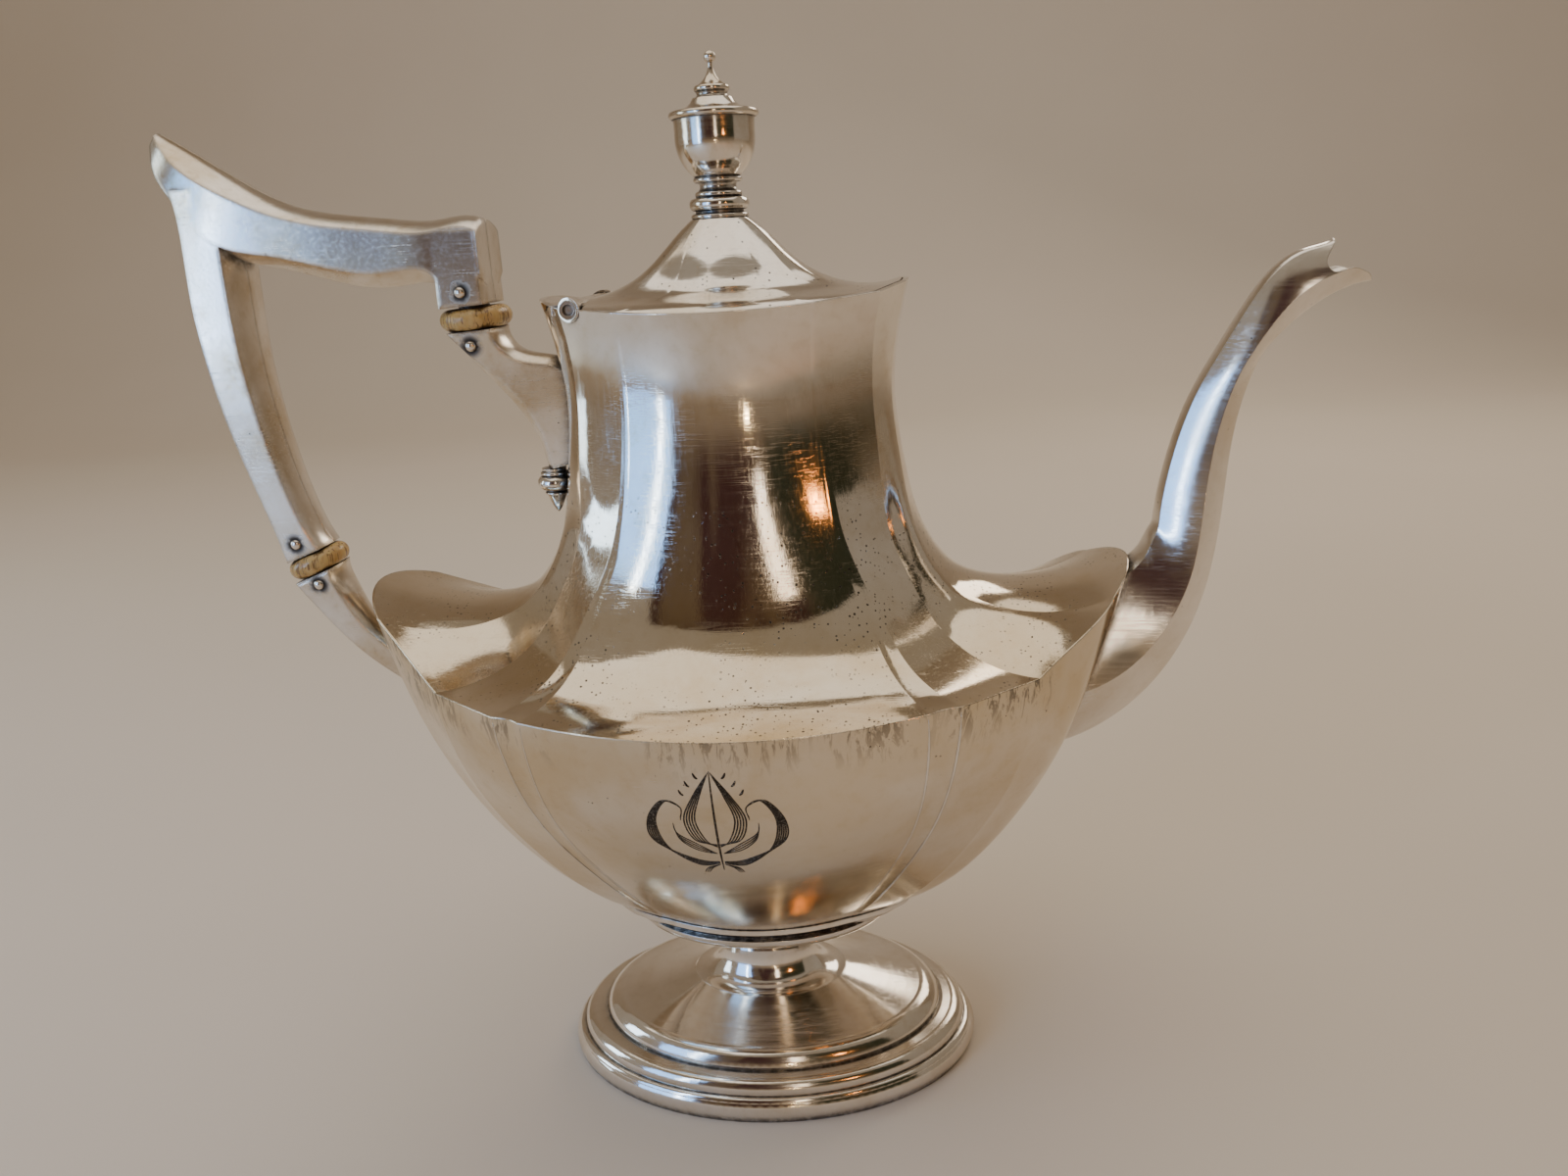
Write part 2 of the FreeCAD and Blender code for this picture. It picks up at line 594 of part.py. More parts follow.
def knuckles(spans, leaf_x, trim):
    """Hinge tubes with a leaf that reaches from each tube to leaf_x."""
    pieces = []
    for y0, y1 in spans:
        tube = hinge_rod(KNUCKLE_R, y0, y1)
        x0 = min(leaf_x, HINGE_X)
        x1 = max(leaf_x, HINGE_X)
        leaf = block(x0, x1, max(y0, -15.0), min(y1, 15.0), HINGE_Z - 1.2, HINGE_Z + 1.0)
        piece = tube.fuse(leaf).cut(hinge_rod(PIN_R + PIN_CLEARANCE, y0 - 1, y1 + 1)).cut(trim)
        pieces.append(max(piece.Solids, key=lambda part: part.Volume))
    return Part.makeCompound(pieces)


def hinge_pin_solid():
    half = HINGE_END - 0.8
    return hinge_rod(PIN_R, -half, half)


def rim_ring(profile):
    """Ring that follows the neck's rim, from its section as (inset, lift) points."""
    lines = [shifted(NECK_LINES[0], inset, lift) for inset, lift in profile]
    faces = []
    for a, b in zip(lines, lines[1:] + lines[:1]):
        faces += ring_faces(a, b)
    return solid_from(faces)


def lid_seat_solid(neck):
    """Ledge inside the neck that the lid's brim closes on."""
    ring = rim_ring([(0.8, -2.0), (0.8, -3.2), (3.5, -3.2), (3.5, -2.0)])
    ring = ring.cut(block(-60, HINGE_X + 5.0, -40, 40, 180, 230)).cut(neck)
    return min(ring.Solids, key=lambda piece: abs(piece.BoundBox.YLength - 47.0))


def lid_bezel_solid(lid):
    """Flange under the lid that drops inside the ledge."""
    ring = rim_ring([(4.1, 3.0), (4.1, -5.2), (5.1, -5.2), (5.1, 3.0)])
    ring = ring.cut(block(-60, HINGE_X + 6.0, -40, 40, 180, 230)).cut(lid)
    return min(ring.Solids, key=lambda piece: piece.CenterOfMass.z)


def neck_with_hinge_ends():
    """Neck whose rim swells over the two ends of the hinge tube."""
    band = rim_ring([(0.0, -4.2), (WALL, -4.2), (WALL, 4.0), (0.0, 4.0)])
    neck = neck_solid()
    for y0, y1 in ((-22.0, -14.0), (14.0, 22.0)):
        neck = neck.fuse(band.common(hinge_rod(KNUCKLE_R + 0.7, y0, y1)))
    for y0, y1 in ((-22.0, -14.0), (14.0, 22.0)):
        neck = neck.cut(hinge_rod(KNUCKLE_R, y0, y1))
    return neck


# ---- finial -------------------------------------------------------------------------
def finial_collar_solid():
    z = FINIAL_Z
    profile = [(6.2, z), ((6.5, z + 0.5), (6.2, z + 1.0)), (5.4, z + 1.2), (5.4, z + 1.7), (6.2, z + 1.9),
               ((6.75, z + 3.1), (6.1, z + 4.3)), (5.0, z + 4.6), ((5.3, z + 5.2), (4.9, z + 5.8)),
               ((4.1, z + 6.6), (4.6, z + 7.8)), (1.55, z + 7.8)]
    return turned((1.55, z), profile)


def finial_urn_solid():
    z = FINIAL_Z + 7.8
    profile = [(4.6, z), ((5.5, z + 0.4), (5.0, z + 1.0)), ((7.9, z + 4.6), (8.9, z + 10.2)),
               (9.0, z + 13.2), (8.0, z + 13.2),
               (7.9, z + 10.2), ((6.9, z + 5.2), (3.4, z + 2.0)), (1.55, z + 2.0)]
    return turned((1.55, z), profile)


def finial_cap_solid():
    z = FINIAL_Z + 21.0
    profile = [(7.9, z - 0.9), (7.9, z), (9.3, z), ((10.0, z + 0.8), (9.3, z + 1.6)),
               ((6.8, z + 2.0), (4.4, z + 4.2)), ((3.4, z + 4.8), (3.8, z + 5.6)),
               ((3.9, z + 6.3), (3.2, z + 6.8)), ((1.5, z + 8.2), (0.5, z + 11.3)),
               ((1.3, z + 12.5), (0.0, z + 13.8)), (0.0, z - 0.9)]
    return turned((0.0, z - 0.9), profile[:-1])


def finial_stud_solid():
    return rod(1.5, V(0, 0, FINIAL_Z - 4.6), V(0, 0, FINIAL_Z + 20.1))


def finial_washer_solid():
    z = FINIAL_Z - 1.0
    return turned((1.55, z - 0.9), [(4.2, z - 0.9), (4.2, z), (1.55, z)])


def finial_nut_solid():
    z = FINIAL_Z - 1.9
    corners = [V(3.2 * math.cos(math.radians(60 * i)), 3.2 * math.sin(math.radians(60 * i)), z - 2.0) for i in range(7)]
    hexagon = Part.Face(Part.makePolygon(corners)).extrude(V(0, 0, 2.0))
    return hexagon.cut(rod(1.5, V(0, 0, z - 3), V(0, 0, z + 1)))


# ---- spout and handle ------------------------------------------------------------------
def beyond_mouth():
    """Everything past the spout's mouth edge."""
    points = [V(x, -12, z) for x, z in MOUTH_EDGE]
    curve = Part.BSplineCurve()
    curve.interpolate(points)
    far_low = points[-1] + V(8, 0, 0)
    far_high = V(far_low.x, -12, points[0].z)
    edges = [curve.toShape(), Part.makeLine(points[-1], far_low), Part.makeLine(far_low, far_high),
             Part.makeLine(far_high, points[0])]
    return Part.Face(Part.Wire(edges)).extrude(V(0, 24, 0))


def spout_solid(body):
    shell = spout_loft(0.0).cut(spout_loft(THIN_WALL)).cut(body).cut(beyond_mouth())
    return max(shell.Solids, key=lambda piece: piece.Volume)


def strainer_rods():
    """Holes through the bowl wall behind the spout."""
    rods = []
    for row, z in enumerate([98.0, 103.5, 109.0, 114.5, 120.0]):
        count = 3 + row % 2
        for i in range(count):
            y = (i - (count - 1) / 2.0) * 5.0
            rods.append(rod(STRAINER_R, V(66, y, z), V(96, y, z)))
    return Part.makeCompound(rods)


def handle_outer(inset):
    first = 1 if inset > 0 else 0
    top = crowned_loft(HANDLE_TOP[first:], inset)
    end_block = crowned_loft(HANDLE_BLOCK, inset)
    arm = crowned_loft(HANDLE_ARM, inset)
    return top, end_block, arm


def handle_halves():
    """Two stamped half shells that meet on the middle plane."""
    top, end_block, arm = handle_outer(0.0)
    outer = top.fuse(end_block).fuse(arm)
    top_in, block_in, arm_in = handle_outer(HANDLE_WALL)
    top_in = top_in.cut(block(HANDLE_END - HANDLE_WALL, -40, -20, 20, 190, 230))
    floor = INSULATOR_THICK / 2 + 1.2
    block_in = block_in.cut(slab(UPPER_RING, -10, floor))
    arm_in = arm_in.cut(slab(LOWER_RING, -10, floor))
    shell = outer.cut(top_in).cut(block_in).cut(arm_in)
    shell = shell.cut(tenon_hole(UPPER_RING)).cut(tenon_hole(LOWER_RING)).cut(dowel_rods())
    front = shell.common(block(-150, -30, -30, 0, 120, 250))
    back = shell.common(block(-150, -30, 0, 30, 120, 250))
    return front, back


def upper_socket_solid(body):
    solid = crowned_loft(UPPER_SOCKET).cut(body)
    solid = max(solid.Solids, key=lambda piece: piece.Volume)
    return solid.cut(tenon_hole(UPPER_RING)).cut(dowel_rods())


def socket_drop_solid(body):
    """Bead and pointed drop at the foot of the upper socket."""
    x = -44.4
    profile = [(3.0, 158.2), (2.8, 157.4), ((3.4, 157.0), (2.9, 156.5)), ((4.3, 154.7), (2.9, 152.9)),
               (2.2, 152.6), ((2.7, 152.2), (2.4, 151.7)), ((1.6, 149.8), (0.6, 147.9)), (0.0, 147.3)]
    drop = turned((0.0, 158.2), profile)
    drop.translate(V(x, 0, 0))
    return drop.cut(body)


def lower_socket_solid(body):
    solid = crowned_loft(LOWER_SOCKET).cut(body)
    solid = max(solid.Solids, key=lambda piece: piece.Volume)
    return solid.cut(tenon_hole(LOWER_RING)).cut(dowel_rods())


def export(shape, node):
    if not shape.isValid():
        shape.fix(1e-6, 1e-6, 1e-4)
    box = shape.BoundBox
    print("%-20s %-9s %d valid %s %.2f cm3  x %.1f..%.1f y %.1f..%.1f z %.1f..%.1f" % (
        node, shape.ShapeType, len(shape.Solids), shape.isValid(), shape.Volume / 1000,
        box.XMin, box.XMax, box.YMin, box.YMax, box.ZMin, box.ZMax))
    shape.exportStep("parts/" + node + ".step")


def main():
    os.makedirs("parts", exist_ok=True)
    body = body_volume(NECK_LINES, BOWL_LINES, 215.0)
    spans = knuckle_spans()
    neck = neck_with_hinge_ends()
    export(neck, "body_neck")
    export(bowl_solid().cut(strainer_rods()), "body_bowl")
    export(foot_ring_solid(), "foot_ring")
    export(foot_step_solid(), "foot_step")
    export(foot_dome_solid(), "foot_dome")
    export(foot_stem_solid(), "foot_stem")
    export(bowl_base_solid(), "bowl_base")
    export(spout_solid(body), "spout")
    front, back = handle_halves()
    export(front, "handle_front_half")
    export(back, "handle_back_half")
    export(insulator_solid(UPPER_RING, UPPER_RING[2], UPPER_RING[3]), "upper_insulator")
    export(insulator_solid(LOWER_RING, LOWER_RING[2], LOWER_RING[3]), "lower_insulator")
    export(upper_socket_solid(body), "upper_socket")
    export(socket_drop_solid(body), "socket_drop")
    export(lower_socket_solid(body), "lower_socket")
    export(dowel_rods(), "dowel_pins")
    lid = lid_shell_solid(cover_solid(WALL + LID_GAP))
    export(lid, "lid_shell")
    export(lid_bezel_solid(lid), "lid_bezel")
    plate = hinge_plate_solid(cover_solid(WALL), neck)
    export(plate, "hinge_plate")
    export(knuckles([spans[1], spans[3]], HINGE_X + 5.5, lid), "lid_knuckles")
    export(knuckles([spans[0], spans[2], spans[4]], HINGE_X - 4.5, plate.fuse(neck)), "fixed_knuckles")
    export(hinge_pin_solid(), "hinge_pin")
    export(lid_seat_solid(neck), "lid_seat")
    export(finial_collar_solid(), "finial_collar")
    export(finial_urn_solid(), "finial_urn")
    export(finial_cap_solid(), "finial_cap")
    export(finial_stud_solid(), "finial_stud")
    export(finial_washer_solid(), "finial_washer")
    export(finial_nut_solid(), "finial_nut")


main()
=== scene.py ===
import bpy
import bmesh
import math
from mathutils import Matrix, Vector
from mathutils.bvhtree import BVHTree


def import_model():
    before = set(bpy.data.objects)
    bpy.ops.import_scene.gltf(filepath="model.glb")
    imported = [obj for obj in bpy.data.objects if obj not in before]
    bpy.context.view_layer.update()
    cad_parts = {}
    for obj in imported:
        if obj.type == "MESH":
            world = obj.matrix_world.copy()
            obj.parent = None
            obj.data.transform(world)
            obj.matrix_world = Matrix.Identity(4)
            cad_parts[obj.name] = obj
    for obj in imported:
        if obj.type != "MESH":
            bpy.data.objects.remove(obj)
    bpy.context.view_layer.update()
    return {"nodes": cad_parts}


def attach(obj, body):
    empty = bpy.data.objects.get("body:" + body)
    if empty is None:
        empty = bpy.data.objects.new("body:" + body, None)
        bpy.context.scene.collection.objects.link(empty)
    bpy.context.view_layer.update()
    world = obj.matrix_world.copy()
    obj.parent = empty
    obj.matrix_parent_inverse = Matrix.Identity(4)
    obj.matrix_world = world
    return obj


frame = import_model()
MM = 0.001

# The camera, fitted to the photograph: angles in degrees, lengths in metres.
AZIMUTH, PAN, PITCH, ROLL = 7.266, -1.954, 16.657, -3.309
DISTANCE, HEIGHT = 0.27859, 0.20901
LENS, SENSOR = 27.11, 36.0


# ---- node trees ------------------------------------------------------------------------
class Tree:
    """Short calls for one material's nodes; lengths in the patterns are millimetres."""

    def __init__(self, name):
        self.material = bpy.data.materials.new(name)
        self.material.use_nodes = True
        self.tree = self.material.node_tree
        self.shader = self.tree.nodes["Principled BSDF"]
        place = self.node("ShaderNodeTexCoord")
        self.mm = self.scaled(place.outputs["Object"], (1000, 1000, 1000))

    def node(self, kind, **settings):
        made = self.tree.nodes.new(kind)
        for key, value in settings.items():
            setattr(made, key, value)
        return made

    def put(self, value, socket):
        if isinstance(value, bpy.types.NodeSocket):
            self.tree.links.new(value, socket)
        else:
            socket.default_value = value

    def scaled(self, vector, scale, turn=(0, 0, 0)):
        made = self.node("ShaderNodeMapping")
        self.put(vector, made.inputs["Vector"])
        made.inputs["Rotation"].default_value = [math.radians(v) for v in turn]
        made.inputs["Scale"].default_value = scale
        return made.outputs[0]

    def noise(self, scale, detail=3.0, rough=0.5, warp=0.0, turn=(0, 0, 0)):
        """Noise from 0 to 1; scale is how many blobs fit in a millimetre along X, Y and Z."""
        made = self.node("ShaderNodeTexNoise")
        self.put(self.scaled(self.mm, scale, turn), made.inputs["Vector"])
        made.inputs["Scale"].default_value = 1.0
        made.inputs["Detail"].default_value = detail
        made.inputs["Roughness"].default_value = rough
        made.inputs["Distortion"].default_value = warp
        return made.outputs[0]

    def cells(self, scale, output="Distance"):
        made = self.node("ShaderNodeTexVoronoi")
        self.put(self.scaled(self.mm, scale), made.inputs["Vector"])
        made.inputs["Scale"].default_value = 1.0
        return made.outputs[output]

    def ramp(self, value, low, high, to_low=0.0, to_high=1.0):
        made = self.node("ShaderNodeMapRange", interpolation_type="SMOOTHSTEP")
        self.put(value, made.inputs[0])
        for index, number in enumerate((low, high, to_low, to_high)):
            made.inputs[index + 1].default_value = number
        return made.outputs[0]

    def math(self, operation, one, two=0.0):
        made = self.node("ShaderNodeMath", operation=operation)
        self.put(one, made.inputs[0])
        self.put(two, made.inputs[1])
        return made.outputs[0]

    def mix(self, amount, one, two):
        made = self.node("ShaderNodeMix", data_type="RGBA")
        self.put(amount, made.inputs["Factor"])
        self.put((*one, 1.0) if isinstance(one, tuple) else one, made.inputs["A"])
        self.put((*two, 1.0) if isinstance(two, tuple) else two, made.inputs["B"])
        return made.outputs["Result"]

    def recess(self, reach, full):
        """1 deep in a groove or beside a neighbour within reach (mm), 0 on open faces."""
        made = self.node("ShaderNodeAmbientOcclusion", samples=6)
        made.inputs["Distance"].default_value = reach * MM
        return self.ramp(made.outputs["AO"], full, 0.93, 1.0, 0.0)

    def axis(self, letter):
        made = self.node("ShaderNodeSeparateXYZ")
        self.put(self.mm, made.inputs[0])
        return made.outputs["XYZ".index(letter)]

    def bump(self, height, depth, under=None):
        """Relief of the given depth in mm, on top of the relief under it."""
        made = self.node("ShaderNodeBump")
        made.inputs["Strength"].default_value = 1.0
        made.inputs["Distance"].default_value = depth * MM
        self.put(height, made.inputs["Height"])
        if under is not None:
            self.put(under, made.inputs["Normal"])
        return made.outputs[0]

    def soft_edges(self, radius):
        made = self.node("ShaderNodeBevel", samples=4)
        made.inputs["Radius"].default_value = radius * MM
        return made.outputs[0]


# ---- materials -------------------------------------------------------------------------
CLEAN = (0.84, 0.80, 0.745)
TOAST = (0.58, 0.47, 0.32)
SOOT = (0.05, 0.042, 0.036)
# Colour of the painted reflection: warm cloth mirrored near the shoulder, laid into the silver's
# colour.
PAINTED_REFLECTION_COLOUR = (0.62, 0.48, 0.27)
DRIP = (0.16, 0.14, 0.12)
TEA = (0.62, 0.5, 0.3)

# Rivets of the insulating rings: x, z and half length of the pin in mm.
RIVETS = ((-59.2, 200.4, 8.5), (-58.6, 188.4, 7.55), (-109.2, 142.8, 6.4), (-105.2, 132.4, 6.2))


def scratch_lines(t):
    """Fine scratches that cross at three angles, in worn patches."""
    lines = None
    for turn in ((0, 24, 8), (0, 68, -12), (10, -41, 5)):
        layer = t.ramp(t.noise((0.07, 0.9, 3.2), 1.5, 0.5, 0.2, turn), 0.60, 0.70)
        lines = layer if lines is None else t.math("MAXIMUM", lines, layer)
    wear = t.ramp(t.noise((0.06, 0.06, 0.06), 2.0), 0.4, 0.62)
    return t.math("MULTIPLY", lines, wear)


def recess_dirt(t, reach, patina, mottle, halos):
    """Black polish residue in recesses, and round each rivet in halos."""
    dirt = t.math("MULTIPLY", t.recess(reach, 0.56), patina)
    broken = t.ramp(t.noise((0.5, 0.5, 0.5), 4.0, 0.7), 0.25, 0.62, 0.45, 1.0)
    dirt = t.math("MULTIPLY", dirt, broken)
    for x, z, _ in halos:
        spot = t.node("ShaderNodeVectorMath", operation="DISTANCE")
        t.put(t.scaled(t.mm, (1, 0, 1)), spot.inputs[0])
        spot.inputs[1].default_value = (x, 0, z)
        near = t.math("ADD", spot.outputs["Value"], t.math("MULTIPLY", mottle, 1.2))
        dirt = t.math("MAXIMUM", dirt, t.ramp(near, 3.4, 1.5, 0.0, 0.95))
    return dirt


def pit_spots(t, low, high, share):
    """Clusters of pinprick pits between two heights; share is how many cells hold one."""
    grid = (1.05, 1.05, 1.05)
    seed = t.node("ShaderNodeSeparateColor")
    t.put(t.cells(grid, "Color"), seed.inputs[0])
    size = t.ramp(seed.outputs[0], 1.0 - share, 1.05, 0.0, 0.30)
    dot = t.math("LESS_THAN", t.cells(grid), size)
    group = t.ramp(t.noise((0.045, 0.045, 0.045), 3.0, 0.6, 0.0, (20, 30, 0)), 0.42, 0.6)
    above = t.ramp(t.axis("Z"), low - 4, low + 4)
    below = t.ramp(t.axis("Z"), high + 8, high)
    return t.math("MULTIPLY", t.math("MULTIPLY", dot, group), t.math("MULTIPLY", above, below))


def drip_stains(t, low, high, amount):
    """Dark branching drips and paler tea-coloured patches, growing in from low to high."""
    branch = t.noise((0.5, 0.5, 0.11), 6.0, 0.75, 0.7)
    patch = t.ramp(t.noise((0.06, 0.06, 0.02), 2.0, 0.5, 0.0, (0, 0, 40)), 0.42, 0.55)
    zone = t.math("MULTIPLY", t.ramp(t.axis("Z"), low, high), patch)
    drips = t.math("MULTIPLY", t.ramp(branch, 0.50, 0.56), t.math("MULTIPLY", zone, amount))
    tea = t.ramp(t.noise((0.03, 0.03, 0.05), 3.0, 0.5, 0.4), 0.45, 0.62)
    return drips, t.math("MULTIPLY", tea, zone)


def silver(name, rough=0.12, toast=0.5, scratch=0.5, grain=(0.05, 0.05, 2.2), ripple=0.03,
           pits=None, stains=None, painted_reflection_heights=None, halos=(), patina=0.9, reach=2.2, clean=CLEAN,
           edge=0.3):
    """Old polished silver: clouds of tarnish, fine scratches, pits and dark recesses, and where asked a
    painted warm reflection by height.
    """
    t = Tree(name)
    cloud = t.ramp(t.noise((0.035, 0.035, 0.035), 4.0, 0.55, 0.6), 0.36, 0.68)
    mottle = t.ramp(t.noise((0.35, 0.35, 0.35), 4.0, 0.65), 0.45, 0.75)
    haze = t.math("MULTIPLY", t.math("ADD", cloud, t.math("MULTIPLY", mottle, 0.35)), toast)
    colour = t.mix(haze, clean, TOAST)
    # Painted reflection: a warm golden tone mixed into the colour over a band of heights, standing in
    # for warm cloth mirrored near the shoulder.
    if painted_reflection_heights:
        uneven = t.ramp(t.noise((0.02, 0.02, 0.05)), 0.3, 0.6, 0.5, 1.0)
        painted_reflection = t.math("MULTIPLY", t.ramp(t.axis("Z"), *painted_reflection_heights), uneven)
        colour = t.mix(t.math("MULTIPLY", painted_reflection, 0.55), colour, PAINTED_REFLECTION_COLOUR)
    fine = t.ramp(t.noise(grain, 2.0, 0.6), 0.42, 0.7)
    lines = scratch_lines(t)
    dirt = recess_dirt(t, reach, patina, mottle, halos)
    shape = t.soft_edges(edge)
    shape = t.bump(t.noise((0.055, 0.055, 0.055), 1.5, 0.4), ripple, shape)
    shape = t.bump(fine, 0.0016, shape)
    shape = t.bump(lines, -0.004 * scratch, shape)
    if pits:
        spots = pit_spots(t, *pits)
        colour = t.mix(t.math("MULTIPLY", spots, 0.85), colour, SOOT)
        shape = t.bump(spots, -0.03, shape)
        dirt = t.math("MAXIMUM", dirt, t.math("MULTIPLY", spots, 0.5))
    if stains:
        drips, tea = drip_stains(t, *stains)
        colour = t.mix(drips, colour, DRIP)
        dirt = t.math("MAXIMUM", dirt, t.math("MULTIPLY", drips, 0.3))
        colour = t.mix(t.math("MULTIPLY", tea, 0.45), colour, TEA)
    colour = t.mix(dirt, colour, SOOT)
    gloss = t.math("ADD", rough, t.math("MULTIPLY", cloud, 0.05))
    for layer, weight in ((fine, 0.05), (lines, 0.14 * scratch), (dirt, 0.35)):
        gloss = t.math("ADD", gloss, t.math("MULTIPLY", layer, weight))
    t.put(colour, t.shader.inputs["Base Color"])
    t.put(gloss, t.shader.inputs["Roughness"])
    t.put(shape, t.shader.inputs["Normal"])
    t.shader.inputs["Metallic"].default_value = 1.0
    return t.material


def ivory():
    """Aged ivory: cream and ochre with dark growth lines and grime against the silver."""
    t = Tree("ivory_aged")
    cloud = t.ramp(t.noise((0.18, 0.18, 0.1), 3.0, 0.6), 0.35, 0.65)
    colour = t.mix(cloud, (0.66, 0.47, 0.19), (0.50, 0.30, 0.09))
    grow = t.ramp(t.noise((1.5, 1.1, 0.12), 3.0, 0.6, 0.5), 0.52, 0.66)
    crack = t.ramp(t.noise((1.6, 1.2, 0.06), 2.0, 0.5, 0.4, (0, 4, 0)), 0.55, 0.6)
    colour = t.mix(t.math("MULTIPLY", grow, 0.6), colour, (0.42, 0.24, 0.07))
    colour = t.mix(t.math("MULTIPLY", crack, 0.75), colour, (0.16, 0.08, 0.03))
    dirt = t.recess(1.6, 0.4)
    colour = t.mix(t.math("MULTIPLY", dirt, 0.85), colour, (0.06, 0.035, 0.02))
    t.put(colour, t.shader.inputs["Base Color"])
    t.put(t.math("ADD", 0.24, t.math("MULTIPLY", grow, 0.2)), t.shader.inputs["Roughness"])
    t.put(t.bump(crack, -0.03, t.bump(grow, -0.02)), t.shader.inputs["Normal"])
    t.shader.inputs["Subsurface Weight"].default_value = 0.12
    t.shader.inputs["Subsurface Scale"].default_value = 0.001
    t.shader.inputs["IOR"].default_value = 1.54
    return t.material


def dark_line():
    """The blackened bottom of an engraver's cut, with silver glints."""
    t = Tree("engraved_line")
    glint = t.ramp(t.noise((2.6, 2.6, 2.6), 3.0, 0.7), 0.5, 0.7)
    t.put(t.mix(glint, (0.045, 0.038, 0.032), (0.3, 0.27, 0.23)), t.shader.inputs["Base Color"])
    t.put(t.ramp(glint, 0.0, 1.0, 0.55, 0.35), t.shader.inputs["Roughness"])
    t.shader.inputs["Metallic"].default_value = 1.0
    return t.material


# ---- stage -----------------------------------------------------------------------------
def area(name, at, aim, size, power, colour):
    data = bpy.data.lights.new(name, "AREA")
    data.shape = "RECTANGLE"
    data.size, data.size_y = size
    data.energy = power
    data.color = colour
    lamp = bpy.data.objects.new(name, data)
    bpy.context.scene.collection.objects.link(lamp)
    lamp.location = at
    lamp.rotation_mode = "QUATERNION"
    lamp.rotation_quaternion = (Vector(aim) - Vector(at)).to_track_quat("-Z", "Y")
    lamp.visible_camera = False


def lights():
    pot = (0, 0, 0.12)
    area("window", (-0.66, -0.64, 0.31), pot, (0.44, 0.56), 2.6, (0.16, 0.44, 1.0))
    area("window_bar", (-0.50, -0.62, 0.30), pot, (0.03, 0.50), 0.6, (0.75, 0.88, 1.0))
    area("window_far", (-1.1, -0.10, 0.36), pot, (0.30, 0.55), 2.4, (0.60, 0.80, 1.0))
    area("overhead", (-0.05, 0.1, 1.4), (0, 0, 0), (1.7, 1.5), 8.5, (1.0, 0.92, 0.82))
    area("behind", (0.6, 1.0, 0.8), pot, (0.6, 0.4), 3.0, (1.0, 0.9, 0.78))
    area("curtain", (0.17, -1.0, 0.48), pot, (0.09, 0.5), 0.55, (1.0, 0.84, 0.66))
    area("lamp", (0.50, -0.80, 0.36), pot, (0.05, 0.08), 0.35, (1.0, 0.36, 0.08))
    area("candle", (0.12, -0.95, 0.09), pot, (0.025, 0.025), 0.10, (1.0, 0.72, 0.4))


def room_card():
    """The dim room behind the camera, which the silver mirrors and the camera never sees."""
    data = bpy.data.meshes.new("room_card")
    points = [(-0.78, -1.25, 0.0), (0.7, -1.25, 0.0), (1.5, -0.75, 0.0),
              (-0.78, -1.25, 1.3), (0.7, -1.25, 1.3), (1.5, -0.75, 1.3)]
    data.from_pydata(points, [], [(0, 1, 4, 3), (1, 2, 5, 4)])
    card = bpy.data.objects.new("room_card", data)
    bpy.context.scene.collection.objects.link(card)
    t = Tree("room_dim")
    bands = t.ramp(t.noise((0.0045, 0.0, 0.0006), 1.0), 0.42, 0.58)
    colour = t.mix(bands, (0.075, 0.03, 0.028), (0.20, 0.15, 0.095))
    olive = t.ramp(t.axis("X"), 250.0, 420.0)
    colour = t.mix(olive, colour, (0.045, 0.055, 0.03))
    low = t.ramp(t.axis("Z"), 240.0, 30.0)
    t.put(t.mix(low, colour, (0.5, 0.42, 0.32)), t.shader.inputs["Base Color"])
    t.shader.inputs["Roughness"].default_value = 0.9
    data.materials.append(t.material)
    card.visible_camera = False


def camera():
    azimuth, pan, pitch, roll = (math.radians(v) for v in (AZIMUTH, PAN, PITCH, ROLL))
    data = bpy.data.cameras.new("camera")
    data.lens = LENS
    data.sensor_width = SENSOR
    data.clip_start = 0.01
    cam = bpy.data.objects.new("camera", data)
    bpy.context.scene.collection.objects.link(cam)
    heading = azimuth + pan
    forward = Vector((-math.sin(heading) * math.cos(pitch), math.cos(heading) * math.cos(pitch),
                      -math.sin(pitch)))
    right = forward.cross(Vector((0, 0, 1))).normalized()
    up = right.cross(forward)
    right, up = (right * math.cos(roll) + up * math.sin(roll),
                 up * math.cos(roll) - right * math.sin(roll))
    place = Vector((DISTANCE * math.sin(azimuth), -DISTANCE * math.cos(azimuth), HEIGHT))
    cam.matrix_world = Matrix((
        (right.x, up.x, -forward.x, place.x),
        (right.y, up.y, -forward.y, place.y),
        (right.z, up.z, -forward.z, place.z),
        (0, 0, 0, 1)))
    bpy.context.scene.camera = cam


def world():
    """A pale warm room, brighter overhead."""
    made = bpy.data.worlds.new("world")
    bpy.context.scene.world = made
    made.use_nodes = True
    tree = made.node_tree
    place = tree.nodes.new("ShaderNodeTexCoord")
    split = tree.nodes.new("ShaderNodeSeparateXYZ")
    tree.links.new(place.outputs["Generated"], split.inputs[0])
    mix = tree.nodes.new("ShaderNodeMix")
    mix.data_type = "RGBA"
    tree.links.new(split.outputs[2], mix.inputs["Factor"])
    mix.inputs["A"].default_value = (0.30, 0.25, 0.195, 1)
    mix.inputs["B"].default_value = (0.33, 0.28, 0.22, 1)
    tree.links.new(mix.outputs["Result"], tree.nodes["Background"].inputs[0])


